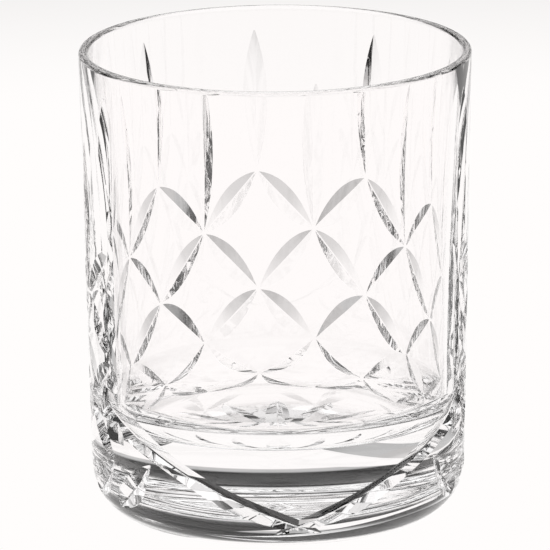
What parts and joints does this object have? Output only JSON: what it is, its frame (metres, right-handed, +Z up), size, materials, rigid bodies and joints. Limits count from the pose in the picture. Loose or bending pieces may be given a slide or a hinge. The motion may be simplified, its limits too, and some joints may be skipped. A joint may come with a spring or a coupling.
{
  "type": "whiskey tumbler",
  "caption": "Panelled crystal whiskey tumbler: a thick-based glass with leaf and lattice wheel cuts, a plain front panel with mitre-cut borders and a star-cut base.",
  "frame": {"origin": "centre of the underside, on the plane that the tumbler stands on", "axes": "+Z up along the tumbler's axis; -Y out of the middle of the plain panel; +X to the right of a viewer who faces the panel"},
  "size_m": [0.0784, 0.0784, 0.095],
  "materials": {
    "crystal": "clear, fire-polished and acid-polished"
  },
  "bodies": {
    "root": {"glass_body": "crystal"}
  },
  "joints": []
}
